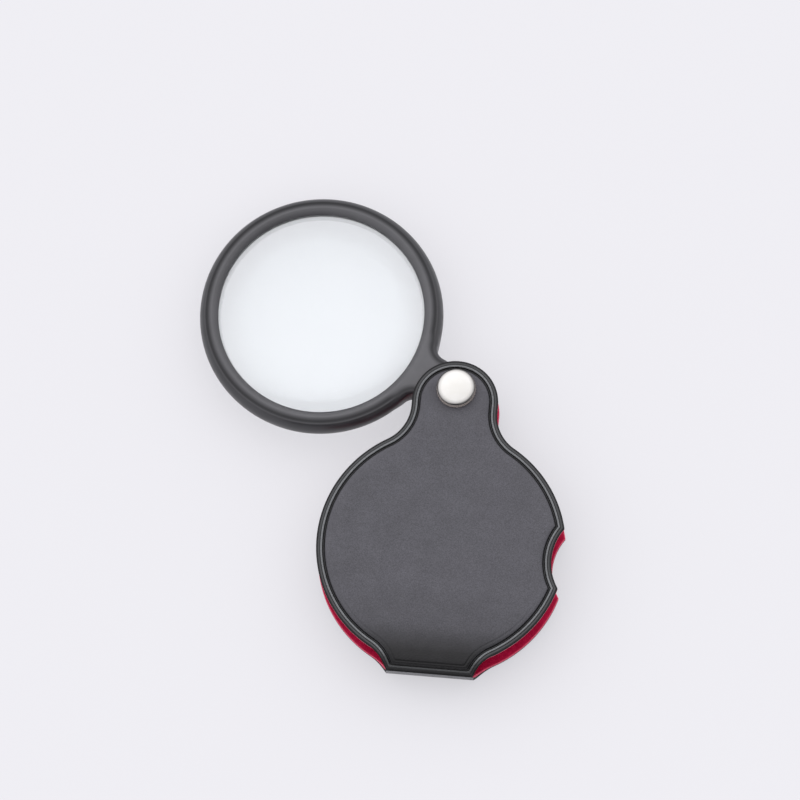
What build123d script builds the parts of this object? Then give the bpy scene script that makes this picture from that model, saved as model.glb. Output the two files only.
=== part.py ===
from build123d import *
import math
import os

# Folding pocket hand lens: a biconvex glass in a one-piece plastic frame, which swings on a
# double-cap rivet out of a cover folded from one strip of leatherette.
#
# Everything is modelled about the rivet's axis, with z = 0 halfway between the two leaves and the
# cover's fold towards -Y. save() then moves it to the frame's origin. Sizes are in millimetres.

# Lens
LENS_R = 25.0
LENS_EDGE = 1.8
LENS_CENTRE = 6.6

# Lens frame
RING_R = 28.95
APERTURE_R = 24.5
RING_HALF = 3.5
LIP_HALF = 2.6
CREASE_R = 27.15
CREASE_WIDE = 0.3
CREASE_DEEP = 0.2
BAND_BULGE = 0.1
ROLL_DROP = 0.05
LIP_TAPER = 0.1
SEAT_PLAY = 0.04
SWING_R = 37.843
OPEN_ANGLE = 153.572
TAB_HALF_WIDTH = 5.3
TAB_HALF = 3.5
TAB_WEB_R = 3.0
TAB_EDGE_R = 0.9

# Plan of the cover
DISC_R = 29.4
DISC_Y = -38.75
NECK_R = 10.2
NECK_TOP_Y = 7.0
NECK_WEB_R = 10.0
WAIST_HALF = 10.4
WAIST_WEB_R = 7.5
FOLD_Y = -69.15
NOTCH_R = 13.0
NOTCH_CHORD = 15.1
NOTCH_DROP = 0.8

# Layers of the cover, as distances from the mid-plane
POCKET_HALF = 3.95
LINING_THICK = 0.4
BOARD_THICK = 0.7
SKIN_THICK = 0.5
RIM_THICK = 0.65
BEAD_TALL = 0.2

# Rim of a leaf, as distances in from its cut edge
BEAD_IN = 0.95
GROOVE_IN = 1.45
PANEL_IN = 1.85
BOARD_IN = 2.4
BOARD_END_Y = -62.35
PANEL_END_Y = -67.85
FOLD_NICK = 0.7
NICK_OUT = 0.175

# Dimple where the rivet draws the leaves in
DIMPLE_DEEP = 0.4
DIMPLE_FLOOR_R = 5.0
DIMPLE_R = 7.6
DIMPLE_REACH = 3.0

# Rivet
CAP_R = 4.35
CAP_TALL = 2.5
CAP_SKIRT = 1.0
CAP_SHOULDER = 1.2
CAP_WALL = 0.3
CAP_MOUTH_R = 3.5
MOUTH_CUT = 1.2
FLANGE_R = 4.0
FLANGE_TOP = 0.7
SOCKET_R = 2.0
POST_R = 1.45
POST_PLAY = 0.03
BORE_PLAY = 0.06
PUNCHED_R = 2.05

# Worked-out sizes
LINING_HALF = POCKET_HALF + LINING_THICK
BOARD_HALF = LINING_HALF + BOARD_THICK
PANEL_HALF = BOARD_HALF + SKIN_THICK
RIM_HALF = LINING_HALF + RIM_THICK
ROLL_Y = FOLD_Y + RIM_HALF
SEAT_HALF = PANEL_HALF - DIMPLE_DEEP
TOTAL_HALF = SEAT_HALF + CAP_TALL
NOTCH_TIP_Y = DISC_Y - NOTCH_DROP + NOTCH_CHORD / 2
RIGHT_X = math.sqrt(DISC_R**2 - (NOTCH_TIP_Y - DISC_Y)**2)
RING_X = SWING_R * math.cos(math.radians(OPEN_ANGLE))
RING_Y = SWING_R * math.sin(math.radians(OPEN_ANGLE))
LEFT_X = RING_X - RING_R
BACK_Y = RING_Y + RING_R
ROOMY = 200.0


def bearing(centre, point):
    """Direction from centre to point, in degrees from +X."""
    return math.degrees(math.atan2(point[1] - centre[1], point[0] - centre[0]))


def arc_between(centre, radius, start, end):
    """Arc about a centre from one bearing to another, in degrees, either way round."""
    return CenterArc(centre, radius, start, end - start)


def circle_crossings(radius, centre, other_radius):
    """Points where a circle about the disc's centre meets another, upper one first."""
    gap = math.dist((0, DISC_Y), centre)
    along = (radius**2 - other_radius**2 + gap**2) / (2 * gap)
    across = math.sqrt(radius**2 - along**2)
    ux = centre[0] / gap
    uy = (centre[1] - DISC_Y) / gap
    upper = (along * ux - across * uy, DISC_Y + along * uy + across * ux)
    lower = (along * ux + across * uy, DISC_Y + along * uy - across * ux)
    return upper, lower


def cover_plan(inset=0.0):
    """Plan of the folded cover, drawn in from its cut edge by inset, as a face."""
    disc_centre = (0, DISC_Y)
    disc = DISC_R - inset
    neck_y = NECK_TOP_Y - NECK_R
    neck = NECK_R - inset
    neck_web_x = NECK_R + NECK_WEB_R
    neck_web_y = DISC_Y + math.sqrt((DISC_R + NECK_WEB_R)**2 - neck_web_x**2)
    waist_web_x = WAIST_HALF + WAIST_WEB_R
    waist_web_y = DISC_Y - math.sqrt((DISC_R + WAIST_WEB_R)**2 - waist_web_x**2)
    waist = WAIST_HALF - inset
    sagitta = NOTCH_R - math.sqrt(NOTCH_R**2 - (NOTCH_CHORD / 2)**2)
    notch_centre = (RIGHT_X - sagitta + NOTCH_R, DISC_Y - NOTCH_DROP)
    notch = NOTCH_R + inset

    neck_to_disc = bearing(disc_centre, (neck_web_x, neck_web_y))
    waist_to_disc = bearing(disc_centre, (waist_web_x, waist_web_y))
    tip_up, tip_down = circle_crossings(disc, notch_centre, notch)
    neck_web = (neck_web_x, neck_web_y)
    waist_web = (waist_web_x, waist_web_y)
    web = NECK_WEB_R + inset
    low_web = WAIST_WEB_R + inset

    edges = [
        arc_between((0, neck_y), neck, 0, 180),
        Line((-neck, neck_y), (-neck, neck_web_y)),
        arc_between((-neck_web_x, neck_web_y), web, 0, -neck_to_disc),
        arc_between(disc_centre, disc, 180 - neck_to_disc, 180 - waist_to_disc),
        arc_between((-waist_web_x, waist_web_y), low_web, -waist_to_disc, 0),
        Line((-waist, waist_web_y), (waist, waist_web_y)),
        arc_between(waist_web, low_web, 180, 180 + waist_to_disc),
        arc_between(disc_centre, disc, waist_to_disc, bearing(disc_centre, tip_down)),
        arc_between(notch_centre, notch, bearing(notch_centre, tip_down) % 360,
                    bearing(notch_centre, tip_up) % 360),
        arc_between(disc_centre, disc, bearing(disc_centre, tip_up), neck_to_disc),
        arc_between(neck_web, web, 180 + neck_to_disc, 180),
        Line((neck, neck_web_y), (neck, neck_y)),
    ]
    return make_face(edges)


def prism(plan):
    """A plan swept through the whole thickness."""
    return extrude(plan, amount=ROOMY / 2, both=True)


def beyond(y):
    """Everything on the neck's side of a line across the cover."""
    return Pos(0, y + ROOMY / 2, 0) * Box(ROOMY, ROOMY, ROOMY)


def folded_space(half):
    """Space inside a folded layer: flat faces half from the mid-plane, dimpled at the rivet."""
    flat = Pos(0, ROLL_Y + ROOMY / 2, 0) * Box(ROOMY, ROOMY, 2 * half)
    roll = Pos(0, ROLL_Y, 0) * Rot(0, 90, 0) * Cylinder(half, ROOMY)
    flare = DIMPLE_R - DIMPLE_FLOOR_R
    cone = Cone(DIMPLE_FLOOR_R, DIMPLE_FLOOR_R + DIMPLE_REACH * flare, DIMPLE_REACH * DIMPLE_DEEP,
                align=(Align.CENTER, Align.CENTER, Align.MIN))
    dimple = Pos(0, 0, half - DIMPLE_DEEP) * cone
    return flat + roll - dimple - mirror(dimple, about=Plane.XY)


def folded_layer(inner_half, outer_half, plan):
    """One layer of the folded strip, between two distances from the mid-plane."""
    return (folded_space(outer_half) - folded_space(inner_half)) & plan


def punched(solid):
    """A layer of the cover with its rivet hole."""
    return solid - Cylinder(PUNCHED_R, ROOMY)


def fold_nicks():
    """Small cuts at both ends of the fold, where the two leaves' edges meet."""
    nick = Rot(0, 0, 45) * Box(FOLD_NICK, FOLD_NICK, ROOMY)
    tall = Rot(90, 0, 0) * nick
    right = Pos(WAIST_HALF + NICK_OUT, FOLD_Y, 0) * tall
    return right + mirror(right, about=Plane.YZ)


def board(side):
    """Stiffening board of one leaf, above (+1) or below (-1) the mid-plane."""
    plan = prism(cover_plan(BOARD_IN)) & beyond(BOARD_END_Y)
    half_space = Pos(0, 0, side * ROOMY / 2) * Box(2 * ROOMY, 2 * ROOMY, ROOMY)
    return punched(folded_layer(LINING_HALF, BOARD_HALF, plan) & half_space)


def lining():
    """Inner strip of the cover, round the fold in one piece."""
    plan = prism(cover_plan()) - fold_nicks()
    return punched(folded_layer(POCKET_HALF, LINING_HALF, plan))


def outer_skin(boards):
    """Outer strip of the cover: flat rim, raised weld bead, groove and padded panel."""
    outline = prism(cover_plan()) - fold_nicks()
    bead_ring = prism(cover_plan(BEAD_IN)) - prism(cover_plan(GROOVE_IN))
    panel = prism(cover_plan(PANEL_IN)) & beyond(PANEL_END_Y)
    skin = folded_layer(LINING_HALF, RIM_HALF, outline)
    skin += folded_layer(LINING_HALF, RIM_HALF + BEAD_TALL, bead_ring & beyond(PANEL_END_Y))
    skin += folded_layer(LINING_HALF, PANEL_HALF, panel)
    for piece in boards:
        skin -= piece
    return punched(skin)


def lens():
    """Biconvex glass with a ground cylindrical edge."""
    edge = LENS_EDGE / 2
    sag = LENS_CENTRE / 2 - edge
    surface_r = (LENS_R**2 + sag**2) / (2 * sag)
    drop = surface_r - math.sqrt(surface_r**2 - (LENS_R / 2)**2)
    crown = LENS_CENTRE / 2
    section = make_face([
        Line((0, -crown), (0, crown)),
        ThreePointArc((0, crown), (LENS_R / 2, crown - drop), (LENS_R, edge)),
        Line((LENS_R, edge), (LENS_R, -edge)),
        ThreePointArc((LENS_R, -edge), (LENS_R / 2, drop - crown), (0, -crown)),
    ])
    return revolve(Plane.XZ * section, Axis.Z)


def ring_section():
    """Half of the ring's section above its mid-plane, as points and arcs, mirrored below."""
    seat_r = LENS_R + SEAT_PLAY
    seat = LENS_EDGE / 2 + SEAT_PLAY
    lip_under = seat + LIP_TAPER
    band_top = (CREASE_R - CREASE_WIDE / 2, RING_HALF)
    band_mid = ((APERTURE_R + band_top[0]) / 2 - BAND_BULGE, (LIP_HALF + RING_HALF) / 2 + BAND_BULGE)
    groove = (CREASE_R, RING_HALF - CREASE_DEEP)
    roll_top = (CREASE_R + CREASE_WIDE / 2, RING_HALF - ROLL_DROP)

    def half(side):
        return [
            Line((seat_r, 0), (seat_r, side * seat)),
            Line((seat_r, side * seat), (APERTURE_R, side * lip_under)),
            Line((APERTURE_R, side * lip_under), (APERTURE_R, side * LIP_HALF)),
            ThreePointArc((APERTURE_R, side * LIP_HALF), (band_mid[0], side * band_mid[1]),
                          (band_top[0], side * band_top[1])),
            Line((band_top[0], side * band_top[1]), (groove[0], side * groove[1])),
            Line((groove[0], side * groove[1]), (roll_top[0], side * roll_top[1])),
        ]

    roll = ThreePointArc(roll_top, (RING_R, 0), (roll_top[0], -roll_top[1]))
    return make_face(half(1) + half(-1) + [roll])


def tab_plan():
    """Round-ended tab from the rivet into the ring, with its webs, for a ring centred at +X."""
    ring_centre = (SWING_R, 0)
    root_r = CREASE_R - CREASE_WIDE
    web_y = TAB_HALF_WIDTH + TAB_WEB_R
    web_x = SWING_R - math.sqrt((RING_R + TAB_WEB_R)**2 - web_y**2)
    meet = bearing(ring_centre, (web_x, web_y))
    back_to_web = bearing((web_x, web_y), ring_centre)
    upper = Vector(*ring_centre) + Vector(1, 0).rotate(Axis.Z, meet) * RING_R
    upper_root = Vector(*ring_centre) + Vector(1, 0).rotate(Axis.Z, meet) * root_r
    edges = [
        arc_between((0, 0), TAB_HALF_WIDTH, 90, 270),
        Line((0, -TAB_HALF_WIDTH), (web_x, -TAB_HALF_WIDTH)),
        arc_between((web_x, -web_y), TAB_WEB_R, 90, -back_to_web),
        Line((upper.X, -upper.Y), (upper_root.X, -upper_root.Y)),
        arc_between(ring_centre, root_r, 360 - meet, meet),
        Line((upper_root.X, upper_root.Y), (upper.X, upper.Y)),
        arc_between((web_x, web_y), TAB_WEB_R, back_to_web, -90),
        Line((web_x, TAB_HALF_WIDTH), (0, TAB_HALF_WIDTH)),
    ]
    return make_face(edges)


def lens_frame():
    """Ring, tab and hub in one moulding, with the ring's centre at +X from the rivet."""
    tab = extrude(tab_plan(), amount=TAB_HALF, both=True)
    flanks = [edge for edge in tab.edges().filter_by(Plane.XY)
              if edge.bounding_box().min.X < SWING_R - RING_R]
    tab = fillet(flanks, TAB_EDGE_R)
    ring = Pos(SWING_R, 0, 0) * revolve(Plane.XZ * ring_section(), Axis.Z)
    return ring + tab - Cylinder(SOCKET_R + BORE_PLAY, ROOMY)


def opened(solid):
    """Turn a piece of the lens about the rivet to where it stands open."""
    return Rot(0, 0, OPEN_ANGLE) * solid


def dome(radius, skirt, tall, shoulder):
    """Closed round cap standing on z = 0: upright skirt, rounded shoulder and shallow crown."""
    run = radius - shoulder
    rise = tall - skirt
    crown_r = (rise**2 + run**2 - shoulder**2) / (2 * (rise - shoulder))
    crown_centre = (0, tall - crown_r)
    lean = bearing(crown_centre, (run, skirt))
    section = make_face([
        Line((0, 0), (radius, 0)),
        Line((radius, 0), (radius, skirt)),
        arc_between((run, skirt), shoulder, 0, lean),
        arc_between(crown_centre, crown_r, lean, 90),
        Line((0, tall), (0, 0)),
    ])
    return revolve(Plane.XZ * section, Axis.Z)


def rivet_cap():
    """Thin domed shell, curled in under the flange that it is crimped to."""
    shell = dome(CAP_R, CAP_SKIRT, CAP_TALL, CAP_SHOULDER)
    inside = dome(CAP_R - CAP_WALL, CAP_SKIRT - CAP_WALL, CAP_TALL - 2 * CAP_WALL, CAP_SHOULDER - CAP_WALL)
    mouth = Cylinder(CAP_MOUTH_R, MOUTH_CUT)
    return shell - Pos(0, 0, CAP_WALL) * inside - mouth


def flange():
    """Stepped disc that a cap is crimped to, standing on z = 0."""
    stand = (Align.CENTER, Align.CENTER, Align.MIN)
    disc = Pos(0, 0, CAP_WALL) * Cylinder(FLANGE_R, FLANGE_TOP - CAP_WALL, align=stand)
    return disc + Cylinder(CAP_MOUTH_R - POST_PLAY, CAP_WALL, align=stand)


def rivet_socket():
    """Flange and tube of the rivet's lower half, with the tube pointing up the axis."""
    tall = SEAT_HALF + SEAT_HALF
    tube = Cylinder(SOCKET_R, tall) - Cylinder(POST_R + POST_PLAY, tall)
    return mirror(Pos(0, 0, SEAT_HALF) * flange(), about=Plane.XY) + tube


def rivet_post():
    """Flange and solid post of the rivet's upper half, driven down into the tube."""
    post = Cylinder(POST_R, 2 * SEAT_HALF)
    return Pos(0, 0, SEAT_HALF) * flange() + post


def save(name, solid):
    """Write one node in the frame's own place: centred on its extents, standing on z = 0."""
    to_origin = Pos(-(LEFT_X + RIGHT_X) / 2, -(FOLD_Y + BACK_Y) / 2, TOTAL_HALF)
    placed = to_origin * solid
    placed.label = name
    export_step(placed, f"parts/{name}.step")


os.makedirs("parts", exist_ok=True)
front_board = board(1)
back_board = board(-1)
front_cap = Pos(0, 0, SEAT_HALF) * rivet_cap()

save("outer_skin", outer_skin([front_board, back_board]))
save("lining", lining())
save("front_board", front_board)
save("back_board", back_board)
save("lens_frame", opened(lens_frame()))
save("lens", opened(Pos(SWING_R, 0, 0) * lens()))
save("front_rivet_cap", front_cap)
save("back_rivet_cap", mirror(front_cap, about=Plane.XY))
save("rivet_post", rivet_post())
save("rivet_socket", rivet_socket())
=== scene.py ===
import math

import bmesh
import bpy
from mathutils import Matrix, Vector
from mathutils.geometry import delaunay_2d_cdt


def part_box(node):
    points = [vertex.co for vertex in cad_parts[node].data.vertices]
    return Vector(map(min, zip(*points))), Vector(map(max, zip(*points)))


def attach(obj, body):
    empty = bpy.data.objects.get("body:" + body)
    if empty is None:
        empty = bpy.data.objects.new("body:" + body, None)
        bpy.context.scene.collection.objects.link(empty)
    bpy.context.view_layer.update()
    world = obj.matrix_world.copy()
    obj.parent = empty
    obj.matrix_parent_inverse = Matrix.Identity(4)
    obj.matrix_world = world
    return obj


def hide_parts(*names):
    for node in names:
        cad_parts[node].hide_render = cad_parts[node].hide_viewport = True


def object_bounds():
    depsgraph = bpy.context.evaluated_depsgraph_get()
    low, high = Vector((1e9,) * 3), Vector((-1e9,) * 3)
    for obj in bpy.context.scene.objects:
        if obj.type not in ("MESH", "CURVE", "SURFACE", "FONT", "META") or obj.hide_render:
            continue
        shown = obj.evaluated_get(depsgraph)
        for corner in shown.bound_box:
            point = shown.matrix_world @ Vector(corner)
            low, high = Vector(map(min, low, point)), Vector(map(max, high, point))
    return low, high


# Folding pocket hand lens. Shapes are worked out in millimetres about the rivet's axis, with
# z = 0 halfway between the cover's two leaves, and to_frame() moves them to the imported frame.
# Angles are in degrees. The meshes made here carry one value per vertex, the attribute "inset",
# for their materials to read. The function that makes a surface says what its value means.

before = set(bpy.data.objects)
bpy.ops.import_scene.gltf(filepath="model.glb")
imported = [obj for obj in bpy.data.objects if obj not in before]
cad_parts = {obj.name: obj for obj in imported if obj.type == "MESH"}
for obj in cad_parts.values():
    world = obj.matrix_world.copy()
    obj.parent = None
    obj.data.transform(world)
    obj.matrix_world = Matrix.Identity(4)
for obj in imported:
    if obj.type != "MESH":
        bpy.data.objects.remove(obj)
cad_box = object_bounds()

MM = 0.001


def centre_of(node):
    low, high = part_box(node)
    return (low + high) / 2


RIVET = centre_of("rivet_post")
GLASS = centre_of("lens")
MID_Z = GLASS.z
SWING_R = (GLASS.xy - RIVET.xy).length / MM
OPEN_ANGLE = math.degrees(math.atan2(GLASS.y - RIVET.y, GLASS.x - RIVET.x))


def to_frame(point):
    x, y, z = point
    return Vector((RIVET.x + x * MM, RIVET.y + y * MM, MID_Z + z * MM))


# Camera: far away with a long lens, high in front and a little to the right
VIEW_AZIMUTH = 13.32
VIEW_ELEVATION = 73.06
VIEW_ROLL = 8.19
VIEW_DISTANCE = 2.3686
VIEW_LENS = 450.0
VIEW_AIM = (-13.36, -2.31, 0.0)

# Plan of a leaf in the flat strip
DISC_R = 29.4
DISC_Y = -38.75
NECK_R = 10.2
NECK_TOP_Y = 7.0
NECK_WEB_R = 10.0
WAIST_HALF = 10.2
NOTCH_R = 13.0
NOTCH_CHORD = 15.1
NOTCH_DROP = 0.8
TIP_R = 0.45
TIP_MIN_R = 0.12
CORNER_R = 0.7

# Layers of the cover, as distances from the mid-plane
POCKET_HALF = 3.95
LINING_HALF = 4.35
BOARD_HALF = 5.05
RIM_HALF = 5.0
PANEL_HALF = 5.55
PUNCHED_R = 2.05
BOARD_STEP_FROM = 2.2
BOARD_STEP_TO = 2.38

# Fold
FOLD_Y = -69.15
ROLL_R = RIM_HALF
ROLL_Y = FOLD_Y + ROLL_R
FOLD_FLAT_Y = ROLL_Y - ROLL_R * math.pi / 2
WAIST_DROP = DISC_Y - FOLD_FLAT_Y
WAIST_R = (WAIST_HALF**2 + WAIST_DROP**2 - DISC_R**2) / (2 * (DISC_R - WAIST_HALF))
SPINE_HALF = 1.9
SPINE_GROOVE = 1.5
SPINE_GROOVE_HALF = 0.2
SPINE_GROOVE_DEEP = 0.18
SPINE_EDGE = 0.6
SPINE_FADE = 0.15
NICK_HALF = 1.0
NICK_DEEP = 0.9

# Rim of the outer skin, as distances in from the cut edge
EDGE_ROUND = 0.15
FLANGE_ROW_IN = 0.5
BEAD_FOOT = 0.02
BEAD_IN = 1.2
BEAD_HALF = 0.3
BEAD_TALL = 0.2
GROOVE_IN = 1.76
GROOVE_HALF = 0.24
GROOVE_DEEP = 0.28
PANEL_IN = 2.0
PANEL_ROUND = 1.5
LAST_RING_IN = 4.2
FLANGE_MARK = 0.4

# Pocket face of the lining, as (distance in, distance back): rounded edge, then a faint hollow
POCKET_FACE = ((0.0, 0.08), (0.04, 0.02), (0.12, 0.0), (1.0, 0.0), (1.3, 0.03), (1.7, 0.06),
               (2.1, 0.02), (2.6, 0.0), (LAST_RING_IN, 0.0))

# Second, shallower crease of the panel, near the fold only
CREASE_IN = 2.95
CREASE_HALF = 0.26
CREASE_TALL = 0.14
CREASE_FROM_Y = -50.0
CREASE_TO_Y = -58.0

# Dimple round the rivet
DIMPLE_DEEP = 0.4
DIMPLE_FLOOR_R = 4.6
DIMPLE_R = 8.6

# Lens frame
RING_R = 28.95
APERTURE_R = 24.5
SEAT_R = 25.04
SEAT_HALF = 0.94
RING_HALF = 3.5
LIP_HALF = 2.6
ROLL_WIDE = 2.6
ROLL_TALL = 3.7
ROLL_TURN = 60.0
CREASE_R = 27.15
CREASE_Z = 3.1
BAND_TOP_R = 26.0
BAND_TOP_Z = 3.48
BAND_BULGE = 0.1
TAB_HALF_WIDTH = 5.3
TAB_WEB_R = 3.0
TAB_EDGE_R = 1.1
TAB_FADE = 7.0
MEET_SHARE = 0.6
TAB_SHADE_OUT = 0.7
TAB_SHADE_LESS = 0.1
BACK_LIP_R = 24.85
LIP_FLARE = 0.12
BACK_LIP_FLARE = 0.35
TAB_BORE_R = 2.06

# Lens
LENS_R = 25.0
LENS_EDGE_HALF = 0.9
LENS_CENTRE_HALF = 3.3
LENS_BEVEL = 0.12

# Rivet cap, with heights above its seat on the leaf. CAP_PULL is how tight the shoulder is, and
# WALL_MARK is what the cap holds as its "inset" up to WALL_TOP, where its material paints a warm
# reflection.
CAP_R = 4.66
CAP_NECK_R = 4.5
CAP_CROWN_R = 3.9
CAP_CROWN_Z = 2.0
CAP_TALL = 2.5
CAP_SKIRT = 1.3
CAP_PULL = 0.3
CAP_CURL = 0.2
CAP_FOOT = 0.02
CAP_FOOT_TOP = 0.5
CAP_MOUTH_R = 3.6
CAP_SEAT = 5.15
WALL_TOP = CAP_SKIRT + 0.02
WALL_MARK = 5.0

# Studio: each dark patch of the world is an azimuth, an elevation, the angles where it is full
# and where it ends, and its level
SKY_COLOUR = (0.965, 0.955, 1.0)
DARK_PATCHES = ((0.0, 0.0, 12.0, 30.0, 0.1), (70.0, 0.0, 14.0, 26.0, 0.15), (30.0, 0.0, 20.0, 52.0, 0.55))
HORIZON_LEVEL = 0.6
HORIZON_CLEAR = 0.7
SLOPE_AXIS = (-0.38, 0.82, 0.43)
SLOPE_MIDDLE = 2.28
SLOPE_GAIN = 0.95
FLOOR_COLOUR = (0.162, 0.162, 0.1632)
FLOOR_GLOW_COLOUR = (0.871, 0.863, 0.905)
FLOOR_GLOW = 0.575
FLOOR_HALF = 3.0

# Points along each stretch of an outline, and the pitch of the points inside it
NECK_STEPS = 72
NECK_SIDE_STEPS = 3
NECK_WEB_STEPS = 24
DISC_STEPS = 110
DISC_PART_STEPS = 42
WAIST_STEPS = 20
CORNER_STEPS = 6
NOTCH_STEPS = 26
SPINE_STEPS = 40
SPINE_ROWS = 26
HOLE_STEPS = 40
RING_STEPS = 300
WEB_STEPS = 16
TAB_SIDE_STEPS = 12
TAB_END_STEPS = 36
TAB_MOUTH_STEPS = 60
CAP_STEPS = 96
LENS_STEPS = 160
LEAF_PITCH = 1.6
TAB_PITCH = 1.2
FILL_CLEAR = 0.6


# ---------------------------------------------------------------- geometry helpers

def clamped(share):
    return min(max(share, 0.0), 1.0)


def smooth(share):
    """Eases a share from 0 to 1 in and out."""
    return share * share * (3 - 2 * share)


def direction(azimuth, elevation):
    """Unit vector towards an azimuth (0 in front, 90 at +X) and an elevation."""
    a = math.radians(azimuth)
    e = math.radians(elevation)
    return (math.sin(a) * math.cos(e), -math.cos(a) * math.cos(e), math.sin(e))


def polar(centre, radius, degrees):
    a = math.radians(degrees)
    return (centre[0] + radius * math.cos(a), centre[1] + radius * math.sin(a))


def bearing(centre, point):
    return math.degrees(math.atan2(point[1] - centre[1], point[0] - centre[0]))


def arc_points(centre, radius, start, end, count):
    """Points along an arc between two bearings, the last one left out."""
    return [polar(centre, radius, start + (end - start) * i / count) for i in range(count)]


def line_points(start, end, count):
    """Points along a line, the last one left out."""
    return [(start[0] + (end[0] - start[0]) * i / count, start[1] + (end[1] - start[1]) * i / count)
            for i in range(count)]


def crossings(centre_a, radius_a, centre_b, radius_b):
    """Where two circles cross: first the point to the left on the way from a to b."""
    gap = math.dist(centre_a, centre_b)
    along = (radius_a**2 - radius_b**2 + gap**2) / (2 * gap)
    across = math.sqrt(radius_a**2 - along**2)
    ux = (centre_b[0] - centre_a[0]) / gap
    uy = (centre_b[1] - centre_a[1]) / gap
    left = (centre_a[0] + along * ux - across * uy, centre_a[1] + along * uy + across * ux)
    right = (centre_a[0] + along * ux + across * uy, centre_a[1] + along * uy - across * ux)
    return left, right


class Solid:
    """Vertices, "inset" values and faces of one piece, gathered before they become a mesh."""

    def __init__(self):
        self.points = []
        self.faces = []
        self.insets = []

    def add(self, points, inset=0.0):
        first = len(self.points)
        self.points.extend(points)
        values = inset if isinstance(inset, list) else [inset] * len(points)
        self.insets.extend(values)
        return list(range(first, len(self.points)))

    def strip(self, ring_a, ring_b, closed=True):
        count = len(ring_a)
        for i in range(count if closed else count - 1):
            j = (i + 1) % count
            self.faces.append((ring_a[i], ring_a[j], ring_b[j], ring_b[i]))

    def loft(self, rings, closed=True):
        for ring_a, ring_b in zip(rings, rings[1:]):
            self.strip(ring_a, ring_b, closed)

    def make(self, name, material, body, replaced=(), sharp=50.0, weld=1e-6):
        mesh = bpy.data.meshes.new(name)
        mesh.from_pydata([to_frame(p) for p in self.points], [], self.faces)
        inset = mesh.attributes.new("inset", "FLOAT", "POINT")
        inset.data.foreach_set("value", self.insets)
        work = bmesh.new()
        work.from_mesh(mesh)
        bmesh.ops.remove_doubles(work, verts=work.verts, dist=weld)
        bmesh.ops.dissolve_degenerate(work, edges=work.edges, dist=weld / 2)
        bmesh.ops.recalc_face_normals(work, faces=work.faces)
        work.to_mesh(mesh)
        work.free()
        mesh.shade_smooth()
        mesh.set_sharp_from_angle(angle=math.radians(sharp))
        piece = bpy.data.objects.new(name, mesh)
        bpy.context.scene.collection.objects.link(piece)
        mesh.materials.append(material)
        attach(piece, body)
        if replaced:
            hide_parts(*replaced)
        return piece


# ---------------------------------------------------------------- the leaves of the cover

def leaf_loop(inset):
    """Closed outline of one leaf in the flat strip, drawn in by inset, anticlockwise."""
    disc_centre = (0, DISC_Y)
    neck_centre = (0, NECK_TOP_Y - NECK_R)
    disc = DISC_R - inset
    neck = NECK_R - inset
    web = NECK_WEB_R + inset
    web_x = NECK_R + NECK_WEB_R
    web_y = DISC_Y + math.sqrt((DISC_R + NECK_WEB_R)**2 - web_x**2)
    waist_x = WAIST_HALF + WAIST_R
    waist = WAIST_R + inset
    neck_to_disc = bearing(disc_centre, (web_x, web_y))
    waist_to_disc = bearing(disc_centre, (waist_x, FOLD_FLAT_Y))

    bottom = FOLD_FLAT_Y + SPINE_HALF + inset
    corner = min(CORNER_R, 0.01 + inset / 2)
    corner_y = bottom + corner
    corner_x = waist_x - math.sqrt((waist + corner)**2 - (corner_y - FOLD_FLAT_Y)**2)
    corner_to_waist = bearing((corner_x, corner_y), (waist_x, FOLD_FLAT_Y))

    tip_y = DISC_Y - NOTCH_DROP + NOTCH_CHORD / 2
    tip_x = math.sqrt(DISC_R**2 - (tip_y - DISC_Y)**2)
    sagitta = NOTCH_R - math.sqrt(NOTCH_R**2 - (NOTCH_CHORD / 2)**2)
    notch_centre = (tip_x - sagitta + NOTCH_R, DISC_Y - NOTCH_DROP)
    notch = NOTCH_R + inset
    tip = max(TIP_R - inset, TIP_MIN_R)
    upper_tip, lower_tip = crossings(disc_centre, disc - tip, notch_centre, notch + tip)
    lower_on_disc = bearing(disc_centre, lower_tip)
    upper_on_disc = bearing(disc_centre, upper_tip)
    lower_on_notch = bearing(notch_centre, lower_tip) % 360
    upper_on_notch = bearing(notch_centre, upper_tip) % 360

    points = arc_points(neck_centre, neck, 0, 180, NECK_STEPS)
    points += line_points((-neck, neck_centre[1]), (-neck, web_y), NECK_SIDE_STEPS)
    points += arc_points((-web_x, web_y), web, 0, -neck_to_disc, NECK_WEB_STEPS)
    points += arc_points(disc_centre, disc, 180 - neck_to_disc, 180 - waist_to_disc, DISC_STEPS)
    points += arc_points((-waist_x, FOLD_FLAT_Y), waist, -waist_to_disc, -corner_to_waist, WAIST_STEPS)
    points += arc_points((-corner_x, corner_y), corner, 180 - corner_to_waist, 270, CORNER_STEPS)
    points += line_points((-corner_x, bottom), (corner_x, bottom), SPINE_STEPS)
    points += arc_points((corner_x, corner_y), corner, -90, corner_to_waist, CORNER_STEPS)
    points += arc_points((waist_x, FOLD_FLAT_Y), waist, 180 + corner_to_waist, 180 + waist_to_disc,
                         WAIST_STEPS)
    points += arc_points(disc_centre, disc, waist_to_disc, lower_on_disc, DISC_PART_STEPS)
    points += arc_points(lower_tip, tip, lower_on_disc, lower_on_notch - 180, CORNER_STEPS)
    points += arc_points(notch_centre, notch, lower_on_notch, upper_on_notch, NOTCH_STEPS)
    points += arc_points(upper_tip, tip, upper_on_notch - 180, upper_on_disc, CORNER_STEPS)
    points += arc_points(disc_centre, disc, upper_on_disc, neck_to_disc, DISC_PART_STEPS)
    points += arc_points((web_x, web_y), web, 180 + neck_to_disc, 180, NECK_WEB_STEPS)
    points += line_points((neck, web_y), (neck, neck_centre[1]), NECK_SIDE_STEPS)
    return points


SPINE_START = NECK_STEPS + NECK_SIDE_STEPS + NECK_WEB_STEPS + DISC_STEPS + WAIST_STEPS + CORNER_STEPS


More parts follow.
